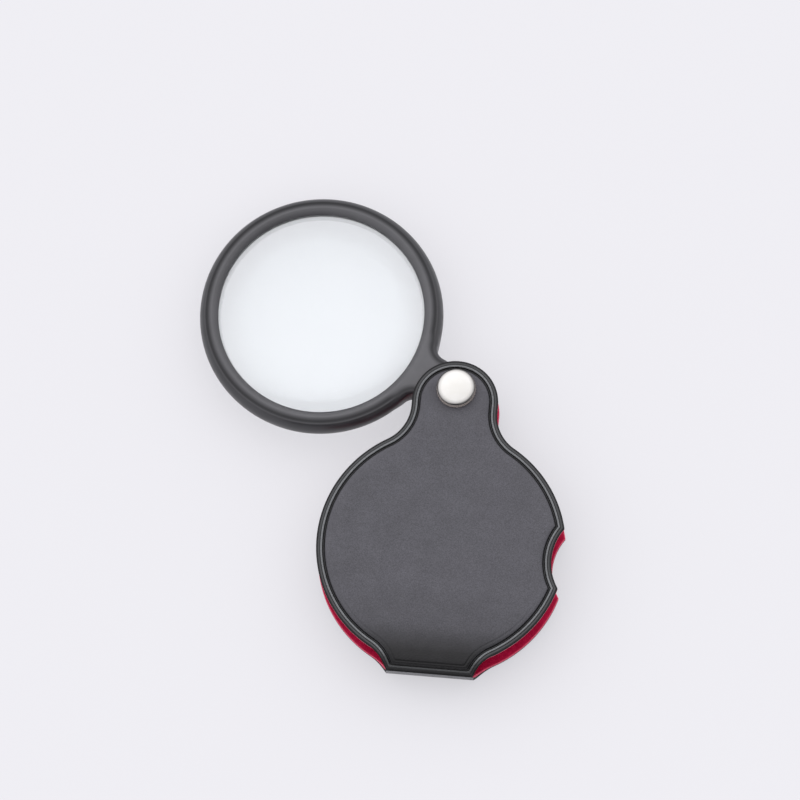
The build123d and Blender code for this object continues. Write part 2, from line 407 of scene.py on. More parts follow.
def folded(x, y, height, leaf):
    """From the flat strip to the folded cover: leaf is 1 in front and -1 behind."""
    run = y - FOLD_FLAT_Y
    bend = ROLL_R * math.pi / 2
    if run >= bend:
        return (x, ROLL_Y + run - bend, leaf * height)
    turn = run / ROLL_R
    return (x, ROLL_Y - height * math.cos(turn), leaf * height * math.sin(turn))


def dimple(x, y):
    """How far the rivet draws a leaf in at a point."""
    share = clamped((math.hypot(x, y) - DIMPLE_FLOOR_R) / (DIMPLE_R - DIMPLE_FLOOR_R))
    return DIMPLE_DEEP * (1 - smooth(share))


def crease(y, inset, height):
    """Depth of the panel's second crease, which fades in towards the fold."""
    near = abs(inset - CREASE_IN) / CREASE_HALF
    if height < BOARD_HALF or near >= 1:
        return 0.0
    share = clamped((y - CREASE_FROM_Y) / (CREASE_TO_Y - CREASE_FROM_Y))
    return CREASE_TALL * share * math.cos(near * math.pi / 2)


def hex_points(low_x, high_x, low_y, high_y, pitch):
    """Points over a box in rows, each row moved half a pitch from the last."""
    row_pitch = pitch * math.sqrt(3) / 2
    rows = int((high_y - low_y) / row_pitch) + 1
    columns = int((high_x - low_x) / pitch) + 1
    return [(low_x + (c + 0.5 * (r % 2)) * pitch, low_y + r * row_pitch)
            for r in range(rows) for c in range(columns)]


def inside(point, loop):
    x, y = point
    found = False
    for (xa, ya), (xb, yb) in zip(loop, loop[1:] + loop[:1]):
        if (ya > y) != (yb > y) and x < (xb - xa) * (y - ya) / (yb - ya) + xa:
            found = not found
    return found


def clear_of(point, loop, gap):
    return all(math.dist(point, other) > gap for other in loop)


def fill(solid, outer_loop, outer_ring, hole_loop, hole_ring, pitch, lift, inset=LAST_RING_IN):
    """Triangles between an outer loop and a hole, over a grid of new points inside."""
    xs = [p[0] for p in outer_loop]
    ys = [p[1] for p in outer_loop]
    gap = pitch * FILL_CLEAR
    grid = [p for p in hex_points(min(xs), max(xs), min(ys), max(ys), pitch)
            if inside(p, outer_loop) and not inside(p, hole_loop)
            and clear_of(p, outer_loop, gap) and clear_of(p, hole_loop, gap)]
    new = solid.add([lift(p) for p in grid], inset)
    flat = [Vector(p) for p in outer_loop + hole_loop + grid]
    index = list(outer_ring) + list(hole_ring) + new
    outer_edges = [(i, (i + 1) % len(outer_loop)) for i in range(len(outer_loop))]
    start = len(outer_loop)
    hole_edges = [(start + i, start + (i + 1) % len(hole_loop)) for i in range(len(hole_loop))]
    points, _, faces, sources, _, _ = delaunay_2d_cdt(flat, outer_edges + hole_edges, [], 0, 1e-5)
    for face in faces:
        if any(not sources[i] for i in face):
            continue
        middle = sum((points[i] for i in face), Vector((0, 0))) / len(face)
        if inside(middle, outer_loop) and not inside(middle, hole_loop):
            solid.faces.append(tuple(index[sources[i][0]] for i in face))


def spine_rows(solid, front_row, back_row, spine_height):
    """Rows of points over the spine between the leaves. Their "inset" is below 0 between the grooves,
    where the skin is painted pale as a reflection of the table.
    """
    rows = [front_row]
    for step in range(1, SPINE_ROWS):
        run = SPINE_HALF * (1 - 2 * step / SPINE_ROWS)
        half = WAIST_HALF + WAIST_R - math.sqrt(WAIST_R**2 - run**2)
        half -= NICK_DEEP * max(0.0, 1 - abs(run) / NICK_HALF)
        xs = [half * (2 * i / SPINE_STEPS - 1) for i in range(SPINE_STEPS + 1)]
        # below 0 marks the spine's painted reflection; FLANGE_MARK gives its ends the flange's painted
        # shade
        painted_reflection = -clamped((SPINE_GROOVE - SPINE_GROOVE_HALF - abs(run)) / SPINE_FADE)
        marks = [painted_reflection if half - abs(x) > SPINE_EDGE or painted_reflection < 0 else FLANGE_MARK for x in xs]
        points = [folded(x, FOLD_FLAT_Y + run, spine_height(run), 1) for x in xs]
        rows.append(solid.add(points, marks))
    rows.append(back_row)
    return rows


def leaf_side(solid, profile, spine_height):
    """One face of the folded strip, with both leaves and the spine. Its "inset" is the distance in
    from the cut edge. Returns the cut edge and the edges of the punched holes."""
    edges = {}
    hole = arc_points((0, 0), PUNCHED_R, 0, 360, HOLE_STEPS)
    holes = []
    for leaf in (1, -1):
        rings = []
        for inset, height in profile:
            loop = leaf_loop(inset)
            rings.append(solid.add([folded(x, y, height - dimple(x, y) - crease(y, inset, height), leaf)
                                    for x, y in loop], inset))
        solid.loft(rings)
        last_inset, last_height = profile[-1]
        hole_ring = solid.add([folded(x, y, last_height - dimple(x, y), leaf) for x, y in hole],
                              LAST_RING_IN)
        fill(solid, leaf_loop(last_inset), rings[-1], hole, hole_ring, LEAF_PITCH,
             lambda p: folded(p[0], p[1], last_height - dimple(*p), leaf))
        edges[leaf] = rings[0]
        holes.append(hole_ring)

    start, end = SPINE_START, SPINE_START + SPINE_STEPS
    rows = spine_rows(solid, edges[1][start:end + 1], edges[-1][start:end + 1], spine_height)
    solid.loft(rows, closed=False)
    cut = edges[1][end:] + edges[1][:start + 1]
    cut += [row[0] for row in rows[1:-1]]
    back = edges[-1][end:] + edges[-1][:start + 1]
    cut += back[::-1]
    cut += [row[-1] for row in rows[-2:0:-1]]
    return cut, holes


def close_sides(solid, outer, inner):
    """Walls between two faces of a strip, along the cut edge and round both holes."""
    outer_cut, outer_holes = outer
    inner_cut, inner_holes = inner
    solid.strip(outer_cut, inner_cut)
    for ring_a, ring_b in zip(outer_holes, inner_holes):
        solid.strip(ring_a, ring_b)


def quarter(start, end, steps):
    """Quarter ellipse, steep at first, as (inset, height) pairs without the start."""
    pairs = []
    for i in range(1, steps + 1):
        turn = math.pi / 2 * i / steps
        pairs.append((start[0] + (end[0] - start[0]) * (1 - math.cos(turn)),
                      start[1] + (end[1] - start[1]) * math.sin(turn)))
    return pairs


def skin_profile():
    """Outer face of the skin's rim: rounded edge, flange, bead, groove, rounded panel edge."""
    pairs = [(0.0, RIM_HALF - EDGE_ROUND)]
    pairs += quarter(pairs[-1], (EDGE_ROUND, RIM_HALF), 4)
    pairs += [(FLANGE_ROW_IN, RIM_HALF), (BEAD_IN - BEAD_HALF - BEAD_FOOT, RIM_HALF)]
    steps = 8
    for i in range(steps + 1):
        turn = math.pi * i / steps
        pairs.append((BEAD_IN - BEAD_HALF * math.cos(turn), RIM_HALF + BEAD_TALL * math.sin(turn)))
    for i in range(1, steps + 1):
        turn = math.pi * i / steps
        pairs.append((GROOVE_IN - GROOVE_HALF * math.cos(turn), RIM_HALF - GROOVE_DEEP * math.sin(turn)))
    pairs += quarter((PANEL_IN, RIM_HALF), (PANEL_IN + PANEL_ROUND, PANEL_HALF), 18)
    pairs.append((LAST_RING_IN, PANEL_HALF))
    return pairs


def spine_top(run):
    """Height of the spine's outer face, with a shallow groove along each side of the fold."""
    near = abs(abs(run) - SPINE_GROOVE) / SPINE_GROOVE_HALF
    return RIM_HALF - SPINE_GROOVE_DEEP * max(0.0, 1 - near * near)


def make_skin(material):
    solid = Solid()
    outer = leaf_side(solid, skin_profile(), spine_top)
    inner_profile = [(0.0, LINING_HALF), (BOARD_STEP_FROM, LINING_HALF),
                     (BOARD_STEP_TO, BOARD_HALF), (LAST_RING_IN, BOARD_HALF)]
    inner = leaf_side(solid, inner_profile, lambda run: LINING_HALF)
    close_sides(solid, outer, inner)
    return solid.make("leatherette_skin", material, "case", ["outer_skin"])


def make_lining(material):
    solid = Solid()
    pocket_side = [(inset, POCKET_HALF + back) for inset, back in POCKET_FACE]
    board_side = [(0.0, LINING_HALF), (LAST_RING_IN, LINING_HALF)]
    inner = leaf_side(solid, pocket_side, lambda run: POCKET_HALF)
    outer = leaf_side(solid, board_side, lambda run: LINING_HALF)
    close_sides(solid, outer, inner)
    return solid.make("pocket_lining", material, "case", ["lining"])


# ---------------------------------------------------------------- the lens and its frame

def turned_open(point):
    """From the lens frame's own plan, with the ring at +X, to where it stands open."""
    x, y, z = point
    a = math.radians(OPEN_ANGLE)
    return (x * math.cos(a) - y * math.sin(a), x * math.sin(a) + y * math.cos(a), z)


def frame_outline():
    """Outline of ring and tab with the ring at +X: points, outward normals and tab shares."""
    ring = (SWING_R, 0.0)
    web_y = TAB_HALF_WIDTH + TAB_WEB_R
    web_x = SWING_R - math.sqrt((RING_R + TAB_WEB_R)**2 - web_y**2)
    meet = bearing(ring, (web_x, web_y))
    samples = []

    def arc(centre, radius, start, end, count, outward):
        for i in range(count):
            a = start + (end - start) * i / count
            samples.append((polar(centre, radius, a), polar((0, 0), outward, a)))

    def line(start, end, count, normal):
        for point in line_points(start, end, count):
            samples.append((point, normal))

    web_to_ring = bearing((web_x, web_y), ring)
    arc(ring, RING_R, -meet, meet, RING_STEPS, 1)
    arc((web_x, web_y), TAB_WEB_R, web_to_ring, -90, WEB_STEPS, -1)
    line((web_x, TAB_HALF_WIDTH), (0, TAB_HALF_WIDTH), TAB_SIDE_STEPS, (0, 1))
    arc((0, 0), TAB_HALF_WIDTH, 90, 270, TAB_END_STEPS, 1)
    line((0, -TAB_HALF_WIDTH), (web_x, -TAB_HALF_WIDTH), TAB_SIDE_STEPS, (0, -1))
    arc((web_x, -web_y), TAB_WEB_R, 90, -web_to_ring, WEB_STEPS, -1)
    return samples, [tab_share(i, len(samples), meet) for i in range(len(samples))]


def tab_share(i, count, meet):
    """How far point i of the outline has the tab's section rather than the ring's, 0 to 1."""
    rest = 1 - MEET_SHARE
    if i < RING_STEPS:
        off = abs(abs(-meet + 2 * meet * i / RING_STEPS) - meet)
        return MEET_SHARE * smooth(max(0.0, 1 - off / TAB_FADE))
    if i < RING_STEPS + WEB_STEPS:
        return MEET_SHARE + rest * (i - RING_STEPS) / WEB_STEPS
    if i < count - WEB_STEPS:
        return 1.0
    return MEET_SHARE + rest * (count - i) / WEB_STEPS


def roll_profile(steps):
    """Outer roll of the ring and the crease inside it, from the equator, as (inset, height)."""
    pairs = []
    for i in range(steps + 1):
        turn = math.radians(ROLL_TURN * i / steps)
        pairs.append((ROLL_WIDE * (1 - math.cos(turn)), ROLL_TALL * math.sin(turn)))
    last_in, last_z = pairs[-1]
    crease_in = RING_R - CREASE_R
    fall = 4
    for i in range(1, fall + 1):
        share = i / fall
        drop = (last_z - CREASE_Z) * (1 - math.cos(math.pi * share)) / 2
        pairs.append((last_in + (crease_in - last_in) * share, last_z - drop))
    rise = 9
    for i in range(1, rise + 1):
        share = i / rise
        lift = (BAND_TOP_Z - CREASE_Z) * (1 - math.cos(math.pi * share ** 0.75)) / 2
        pairs.append((crease_in + (CREASE_R - BAND_TOP_R) * share, CREASE_Z + lift))
    return pairs


def tab_profile(count):
    """Side and rounded edge of the tab, with as many (inset, height) pairs as the ring has."""
    wall = 4
    flat = 13
    rounds = count - wall - flat
    pairs = [(0.0, (RING_HALF - TAB_EDGE_R) * i / wall) for i in range(wall)]
    for i in range(rounds):
        turn = math.pi / 2 * i / (rounds - 1)
        pairs.append((TAB_EDGE_R * (1 - math.cos(turn)),
                      RING_HALF - TAB_EDGE_R + TAB_EDGE_R * math.sin(turn)))
    last_in = RING_R - BAND_TOP_R
    pairs += [(TAB_EDGE_R + (last_in - TAB_EDGE_R) * i / flat, RING_HALF) for i in range(1, flat + 1)]
    return pairs


def band_profile(side):
    """Inner band of the ring, from its top down to the lens seat, as (radius, height)."""
    lip_r = APERTURE_R if side == 1 else BACK_LIP_R
    end_r = lip_r + (LIP_FLARE if side == 1 else BACK_LIP_FLARE)
    pairs = []
    steps = 10
    for i in range(1, steps + 1):
        t = i / steps
        radius = BAND_TOP_R + (end_r - BAND_TOP_R) * t
        height = BAND_TOP_Z + (LIP_HALF - BAND_TOP_Z) * t
        pairs.append((radius, height + 4 * BAND_BULGE * t * (1 - t)))
    # rounded lip, wall of the opening, and the groove that holds the glass
    turn_z = LIP_HALF - 0.06 if side == 1 else SEAT_HALF + 0.3
    pairs += [(lip_r + (end_r - lip_r) / 4, turn_z), (lip_r, turn_z - 0.1)]
    pairs += [(lip_r, SEAT_HALF + 0.12), (lip_r + 0.05, SEAT_HALF + 0.05)]
    pairs += [(SEAT_R, SEAT_HALF), (SEAT_R, 0.0)]
    return pairs


def crease_shade(depth):
    """How much painted shade the ring's crease gets at a depth in from its outer edge, 0 to 1."""
    stops = [(0.76, 0.0), (1.2, 0.28), (1.62, 0.7), (1.95, 0.66), (2.4, 0.3), (2.9, 0.0)]
    for (depth_a, shade_a), (depth_b, shade_b) in zip(stops, stops[1:]):
        if depth_a <= depth <= depth_b:
            return shade_a + (shade_b - shade_a) * (depth - depth_a) / (depth_b - depth_a)
    return 0.0


def outer_rings(solid, samples, shares, side):
    """Loops from the equator to the top of the band. Their "inset" is how much painted shade the crease
    and the tab's edges get.
    """
    rolls = roll_profile(14)
    rings = []
    for (roll_in, roll_z), (tab_in, tab_z) in zip(rolls, tab_profile(len(rolls))):
        points = []
        shade = []
        for (point, normal), share in zip(samples, shares):
            inset = roll_in + (tab_in - roll_in) * share
            height = roll_z + (tab_z - roll_z) * share
            points.append(turned_open((point[0] - inset * normal[0], point[1] - inset * normal[1],
                                       side * height)))
            shade.append(crease_shade(inset + TAB_SHADE_OUT * share) * (1 - TAB_SHADE_LESS * share))
        rings.append(solid.add(points, shade))
    solid.loft(rings)
    return rings[-1]


def frame_side(solid, samples, shares, side):
    """One face of ring and tab, with the band down to the lens seat. Returns the bore's edge."""
    edge = outer_rings(solid, samples, shares, side)
    edge_in = RING_R - BAND_TOP_R
    edge_flat = [(p[0] - edge_in * n[0], p[1] - edge_in * n[1]) for p, n in samples]
    plain = [i for i, share in enumerate(shares) if i < RING_STEPS and share == 0.0]
    first, last = plain[0], plain[-1]

    ring = (SWING_R, 0.0)
    start = bearing(ring, edge_flat[last])
    end = bearing(ring, edge_flat[first]) % 360
    mouth = [start + (end - start) * i / TAB_MOUTH_STEPS for i in range(1, TAB_MOUTH_STEPS)]
    mouth_flat = [polar(ring, BAND_TOP_R, a) for a in mouth]
    mouth_ring = solid.add([turned_open((x, y, side * BAND_TOP_Z)) for x, y in mouth_flat])
    angles = [bearing(ring, edge_flat[i]) for i in range(first, last + 1)] + mouth
    bands = [edge[first:last + 1] + mouth_ring]
    for radius, height in band_profile(side):
        bands.append(solid.add([turned_open((*polar(ring, radius, a), side * height)) for a in angles]))
    solid.loft(bands)

    hole = arc_points((0, 0), TAB_BORE_R, 0, 360, HOLE_STEPS)
    hole_ring = solid.add([turned_open((x, y, side * RING_HALF)) for x, y in hole])
    loop_flat = edge_flat[last:] + edge_flat[:first + 1] + mouth_flat[::-1]
    loop_ring = edge[last:] + edge[:first + 1] + mouth_ring[::-1]
    fill(solid, loop_flat, loop_ring, hole, hole_ring, TAB_PITCH,
         lambda p: turned_open((p[0], p[1], side * RING_HALF)), 0.0)
    return hole_ring


def make_frame(material):
    solid = Solid()
    samples, shares = frame_outline()
    front_bore = frame_side(solid, samples, shares, 1)
    back_bore = frame_side(solid, samples, shares, -1)
    solid.strip(front_bore, back_bore)
    return solid.make("moulded_ring", material, "magnifier", ["lens_frame"], sharp=60)


def revolved(solid, section, count, place, wall_top=-math.inf):
    """Surface of revolution from (radius, height) pairs, where a radius of 0 closes it. Its "inset"
    is the radius, or WALL_MARK up to the height wall_top."""
    rings = []
    for radius, height in section:
        if radius == 0:
            rings.append([solid.add([place((0, 0, height))])[0]] * count)
            continue
        points = [place((*polar((0, 0), radius, 360 * i / count), height)) for i in range(count)]
        rings.append(solid.add(points, radius if height > wall_top else WALL_MARK))
    for ring_a, ring_b in zip(rings, rings[1:]):
        for i in range(count):
            j = (i + 1) % count
            corners = [ring_a[i], ring_a[j], ring_b[j], ring_b[i]]
            face = tuple(dict.fromkeys(corners))
            if len(face) > 2:
                solid.faces.append(face)


def make_glass(material):
    sag = LENS_CENTRE_HALF - LENS_EDGE_HALF
    surface_r = (LENS_R**2 + sag**2) / (2 * sag)
    steps = 28
    front = []
    for i in range(steps + 1):
        radius = (LENS_R - LENS_BEVEL) * i / steps
        drop = surface_r - math.sqrt(surface_r**2 - radius**2)
        front.append((radius, LENS_CENTRE_HALF - drop))
    wall_half = LENS_EDGE_HALF - LENS_BEVEL / 2
    section = front + [(LENS_R, wall_half), (LENS_R, -wall_half)]
    section += [(radius, -height) for radius, height in front[::-1]]
    solid = Solid()
    revolved(solid, section, LENS_STEPS, lambda p: turned_open((p[0] + SWING_R, p[1], p[2])))
    return solid.make("glass_lens", material, "magnifier", ["lens"], sharp=30)


# ---------------------------------------------------------------- rivet caps

def cap_section():
    """Section of a cap standing on height 0: crown, rounded shoulder, skirt, curled edge, hollow."""
    sag = CAP_TALL - CAP_CROWN_Z
    crown_r = (CAP_CROWN_R**2 + sag**2) / (2 * sag)
    steps = 14
    pairs = []
    for i in range(steps):
        radius = CAP_CROWN_R * i / steps
        pairs.append((radius, CAP_TALL - crown_r + math.sqrt(crown_r**2 - radius**2)))
    lean = CAP_CROWN_R / crown_r
    controls = [(CAP_CROWN_R, CAP_CROWN_Z), (CAP_CROWN_R + CAP_PULL, CAP_CROWN_Z - CAP_PULL * lean),
                (CAP_NECK_R, CAP_SKIRT + CAP_PULL), (CAP_NECK_R, CAP_SKIRT)]
    for i in range(steps + 1):
        t = i / steps
        weights = ((1 - t)**3, 3 * t * (1 - t)**2, 3 * t * t * (1 - t), t**3)
        pairs.append((sum(w * c[0] for w, c in zip(weights, controls)),
                      sum(w * c[1] for w, c in zip(weights, controls))))
    curl_z = CAP_FOOT + CAP_CURL
    pairs += [(CAP_R, CAP_FOOT_TOP), (CAP_R, curl_z)]
    curl_steps = 4
    for i in range(1, curl_steps + 1):
        turn = math.pi / 2 * i / curl_steps
        pairs.append((CAP_R - CAP_CURL * (1 - math.cos(turn)), curl_z - CAP_CURL * math.sin(turn)))
    pairs += [(CAP_MOUTH_R, CAP_FOOT), (CAP_MOUTH_R, 0.3)]
    pairs += [(CAP_MOUTH_R + 0.3, 0.36), (CAP_MOUTH_R, 1.1), (0, 1.8)]
    return pairs


def make_caps(material):
    for name, node, side in (("front_cap", "front_rivet_cap", 1), ("back_cap", "back_rivet_cap", -1)):
        solid = Solid()
        revolved(solid, cap_section(), CAP_STEPS, lambda p: (p[0], p[1], side * (p[2] + CAP_SEAT)),
                 WALL_TOP)
        solid.make(name, material, "case", [node], sharp=60)


# ---------------------------------------------------------------- materials

class Paint:
    """A Principled material and the few node chains that the finishes here are made of."""

    def __init__(self, name, colour, roughness, metallic=0.0):
        self.material = bpy.data.materials.new(name)
        self.material.use_nodes = True
        self.nodes = self.material.node_tree.nodes
        self.links = self.material.node_tree.links
        self.shader = self.nodes["Principled BSDF"]
        self.shader.inputs["Base Color"].default_value = (*colour, 1)
        self.shader.inputs["Roughness"].default_value = roughness
        self.shader.inputs["Metallic"].default_value = metallic
        self.place = self.nodes.new("ShaderNodeTexCoord").outputs["Object"]
        self.normal = None

    def inset(self):
        """The value that the piece's mesh carries at each vertex."""
        node = self.nodes.new("ShaderNodeAttribute")
        node.attribute_name = "inset"
        return node.outputs["Fac"]

    def along_y(self):
        """The frame's Y, in metres."""
        node = self.nodes.new("ShaderNodeSeparateXYZ")
        self.links.new(self.place, node.inputs["Vector"])
        return node.outputs["Y"]

    def stretched(self, x, y, z):
        node = self.nodes.new("ShaderNodeMapping")
        self.links.new(self.place, node.inputs["Vector"])
        node.inputs["Scale"].default_value = (x, y, z)
        return node.outputs["Vector"]

    def noise(self, scale, detail=3.0, where=None):
        node = self.nodes.new("ShaderNodeTexNoise")
        self.links.new(where or self.place, node.inputs["Vector"])
        node.inputs["Scale"].default_value = scale
        node.inputs["Detail"].default_value = detail
        return node.outputs["Fac"]

    def cells(self, scale):
        node = self.nodes.new("ShaderNodeTexVoronoi")
        self.links.new(self.place, node.inputs["Vector"])
        node.inputs["Scale"].default_value = scale
        return node.outputs["Distance"]

    def span(self, source, low, high, to_low, to_high):
        """Linear map of one value, clamped at both ends."""
        node = self.nodes.new("ShaderNodeMapRange")
        self.links.new(source, node.inputs["Value"])
        node.inputs["From Min"].default_value = low
        node.inputs["From Max"].default_value = high
        node.inputs["To Min"].default_value = to_low
        node.inputs["To Max"].default_value = to_high
        return node.outputs["Result"]

    def varied(self, noise, low, high):
        """Noise stretched from its usual middle range to run from low to high."""
        return self.span(noise, 0.3, 0.7, low, high)

    def maths(self, operation, a, b):
        node = self.nodes.new("ShaderNodeMath")
        node.operation = operation
        for socket, value in zip(node.inputs, (a, b)):
            if isinstance(value, (int, float)):
                socket.default_value = value
            else:
                self.links.new(value, socket)
        return node.outputs["Value"]

    def ramp(self, source, stops):
        node = self.nodes.new("ShaderNodeValToRGB")
        self.links.new(source, node.inputs["Fac"])
        elements = node.color_ramp.elements
        while len(elements) < len(stops):
            elements.new(0.5)
        for element, (position, colour) in zip(elements, stops):
            element.position = position
            element.color = (*colour, 1)
        return node.outputs["Color"]

    def mix(self, factor, a, b, blend="MIX"):
        node = self.nodes.new("ShaderNodeMix")
        node.data_type = "RGBA"
        node.blend_type = blend
        sockets = [node.inputs[i] for i in (0, 6, 7)]
        for socket, value in zip(sockets, (factor, a, b)):
            if isinstance(value, float):
                socket.default_value = value
            elif isinstance(value, tuple):
                socket.default_value = (*value, 1)
            else:
                self.links.new(value, socket)
        return node.outputs[2]

    def bump(self, height, strength, distance):
        node = self.nodes.new("ShaderNodeBump")
        node.inputs["Strength"].default_value = strength
        node.inputs["Distance"].default_value = distance
        self.links.new(height, node.inputs["Height"])
        if self.normal is not None:
            self.links.new(self.normal, node.inputs["Normal"])
        self.normal = node.outputs["Normal"]
        self.links.new(self.normal, self.shader.inputs["Normal"])

    def feed(self, socket, source):
        self.links.new(source, self.shader.inputs[socket])


INSET_SPAN = (-1.0, 4.2)
BLACK = (0.001, 0.001, 0.001)


def at_inset(inset):
    """Place of an inset on a colour ramp that runs over INSET_SPAN."""
    return (inset - INSET_SPAN[0]) / (INSET_SPAN[1] - INSET_SPAN[0])


def leatherette():
    """Colours by distance in from the cut edge, painting highlights, shade and a reflection on the rim
    and the spine, and painted shade darker towards the fold.
    """
    paint = Paint("black_leatherette", (0.03, 0.03, 0.033), 0.5)
    paint.shader.inputs["Specular IOR Level"].default_value = 0.3
    inset = paint.inset()
    # painted light on the rim: a pale reflection of the table on the spine, highlights on the bead and
    # the middle of the flange, and shade in the spine's grooves, at the cut edge, on the flange, beside
    # the bead and in the groove
    painted_reflection = (0.14, 0.14, 0.145)
    flange = (0.004, 0.0045, 0.0045)
    flange_highlight = (0.022, 0.023, 0.023)
    bead = (0.072, 0.075, 0.076)
    groove = (0.0008, 0.0008, 0.001)
    panel = (0.0285, 0.028, 0.0325)
    stops = [(-0.9, painted_reflection), (-0.3, groove), (0.2, groove), (0.4, flange), (0.5, flange_highlight),
             (0.7, flange_highlight), (0.86, groove), (0.96, groove), (1.04, bead), (1.36, bead),
             (1.5, groove), (2.0, groove), (2.25, panel)]
    colour = paint.ramp(paint.span(inset, *INSET_SPAN, 0.0, 1.0),
                        [(at_inset(place), shade) for place, shade in stops])

    y = paint.along_y()
    fold_y = to_frame((0, FOLD_Y, 0)).y

    def darker(near, far, most):
        """Falls from most to 0 between two distances from the fold, in millimetres."""
        return paint.span(y, fold_y + near * MM, fold_y + far * MM, most, 0.0)

    # painted shade on the panel and the rim where they roll over towards the fold
    on_panel = paint.maths("MULTIPLY", paint.maths("ADD", darker(8, 20, 0.3), darker(4.5, 11, 0.68)),
                           paint.span(inset, 2.0, 2.3, 0.0, 1.0))
    on_rim = paint.maths("MULTIPLY", darker(2.4, 4, 0.55), paint.span(inset, 0.3, 0.6, 0.0, 1.0))
    fold_shade = paint.maths("MAXIMUM", on_panel, on_rim)
    colour = paint.mix(fold_shade, colour, BLACK)

    # a metallic share takes the soft sheen off the painted shade towards the fold, and off the cut edge
    # and the flange as painted shade
    flange_sheen_shade = paint.maths("MULTIPLY", paint.span(inset, 0.2, 0.45, 0.5, 0.26),
                            paint.span(inset, 0.9, 1.05, 1.0, 0.0))
    flange_sheen_shade = paint.maths("MULTIPLY", flange_sheen_shade, paint.span(inset, -0.1, 0.0, 0.0, 1.0))
    paint.feed("Metallic", paint.maths("MAXIMUM", paint.maths("MULTIPLY", fold_shade, 0.28), flange_sheen_shade))

    mottle = paint.varied(paint.noise(160.0, 4.0), 0.9, 1.1)
    speck = paint.varied(paint.noise(4200.0, 2.0), 0.64, 1.36)
    shade = paint.maths("MULTIPLY", mottle, speck)
    tone = paint.nodes.new("ShaderNodeCombineColor")
    for socket in tone.inputs:
        paint.links.new(shade, socket)
    paint.feed("Base Color", paint.mix(1.0, colour, tone.outputs["Color"], "MULTIPLY"))
    paint.feed("Roughness", paint.varied(paint.noise(420.0, 4.0), 0.44, 0.56))
    paint.bump(paint.cells(2300.0), 0.5, 0.00008)
    paint.bump(paint.noise(6000.0, 2.0), 0.4, 0.00004)
    return paint.material


def crimson():
    paint = Paint("crimson_lining", (0.42, 0.012, 0.05), 0.55)
    tone = paint.varied(paint.noise(900.0, 4.0), 0.0, 1.0)
    colour = paint.mix(tone, (0.2, 0.001, 0.018), (0.29, 0.004, 0.03))
    # painted highlight: the lining is paler pink at its cut edge, where the edge catches the light
    edge_highlight = paint.span(paint.inset(), 0.06, 0.3, 0.45, 0.0)
    paint.feed("Base Color", paint.mix(edge_highlight, colour, (0.62, 0.14, 0.2)))
    paint.feed("Roughness", paint.varied(paint.noise(600.0, 3.0), 0.5, 0.64))
    paint.shader.inputs["Specular IOR Level"].default_value = 0.06
    paint.bump(paint.cells(3000.0), 0.3, 0.00005)
    paint.bump(paint.noise(5000.0, 3.0), 0.3, 0.00004)
    return paint.material


def plastic():
    paint = Paint("black_plastic", (0.012, 0.012, 0.014), 0.36)
    paint.shader.inputs["Specular IOR Level"].default_value = 0.6
    # painted shade in the ring's crease and along the tab's edges: black base colour, and a metallic
    # share that takes their reflections off
    dark = paint.inset()
    tone = paint.varied(paint.noise(220.0, 4.0), 0.0, 1.0)
    colour = paint.mix(tone, (0.009, 0.009, 0.0105), (0.014, 0.014, 0.016))
    paint.feed("Base Color", paint.mix(dark, colour, BLACK))
    paint.feed("Metallic", dark)
    scuffs = paint.noise(90.0, 3.0, paint.stretched(1.0, 9.0, 4.0))
    paint.feed("Roughness", paint.span(scuffs, 0.35, 0.75, 0.33, 0.43))
    paint.bump(paint.noise(1500.0, 3.0), 0.12, 0.00003)
    paint.bump(scuffs, 0.06, 0.00004)
    return paint.material


def glass():
    paint = Paint("lens_glass", (0.985, 0.998, 0.996), 0.0)
    paint.shader.inputs["Transmission Weight"].default_value = 1.0
    paint.shader.inputs["IOR"].default_value = 1.52
    smear = paint.noise(70.0, 4.0, paint.stretched(1.0, 2.5, 1.0))
    paint.feed("Roughness", paint.span(smear, 0.6, 0.9, 0.0, 0.008))
    colour = paint.mix(smear, (0.915, 0.95, 0.945), (0.925, 0.96, 0.955))
    # painted shade: the glass is greyer towards its rim, most on its upper side, where the ring's shadow
    # on the table shows through it
    upper = paint.span(paint.along_y(), GLASS.y - 20 * MM, GLASS.y + 5 * MM, 0.3, 1.0)
    rim = paint.maths("MULTIPLY", paint.span(paint.inset(), 18.0, LENS_R, 0.0, 1.0), upper)
    paint.feed("Base Color", paint.mix(rim, colour, (0.8, 0.82, 0.815)))

    # shadow rays pass straight through
    clear = paint.nodes.new("ShaderNodeBsdfTransparent")
    rays = paint.nodes.new("ShaderNodeLightPath")
    lit = paint.nodes.new("ShaderNodeMixShader")
    paint.links.new(rays.outputs["Is Shadow Ray"], lit.inputs["Fac"])
    paint.links.new(paint.shader.outputs["BSDF"], lit.inputs[1])
    paint.links.new(clear.outputs["BSDF"], lit.inputs[2])
    paint.links.new(lit.outputs["Shader"], paint.nodes["Material Output"].inputs["Surface"])
    return paint.material


def nickel():
    paint = Paint("nickel", (0.37, 0.365, 0.345), 0.16, 1.0)
    tarnish = paint.span(paint.noise(260.0, 4.0), 0.35, 0.75, 0.0, 1.0)
    crown = paint.mix(tarnish, (0.352, 0.349, 0.33), (0.325, 0.318, 0.292))
    radius = paint.inset()
    # painted shade in a ring round the edge of the crown, and a painted warm reflection on the skirt,
    # which is also less metallic there
    shade_ring = paint.span(radius, 3.4, 4.1, 0.0, 1.0)
    skirt = paint.span(radius, CAP_NECK_R - 0.1, CAP_NECK_R + 0.1, 0.0, 1.0)
    colour = paint.mix(shade_ring, crown, (0.235, 0.23, 0.218))
    paint.feed("Base Color", paint.mix(skirt, colour, (0.46, 0.405, 0.365)))
    paint.feed("Metallic", paint.span(skirt, 0.0, 1.0, 1.0, 0.55))
    marks = paint.noise(700.0, 3.0, paint.stretched(1.0, 5.0, 1.0))
    paint.feed("Roughness", paint.varied(marks, 0.12, 0.22))
    paint.bump(marks, 0.05, 0.00003)
    return paint.material


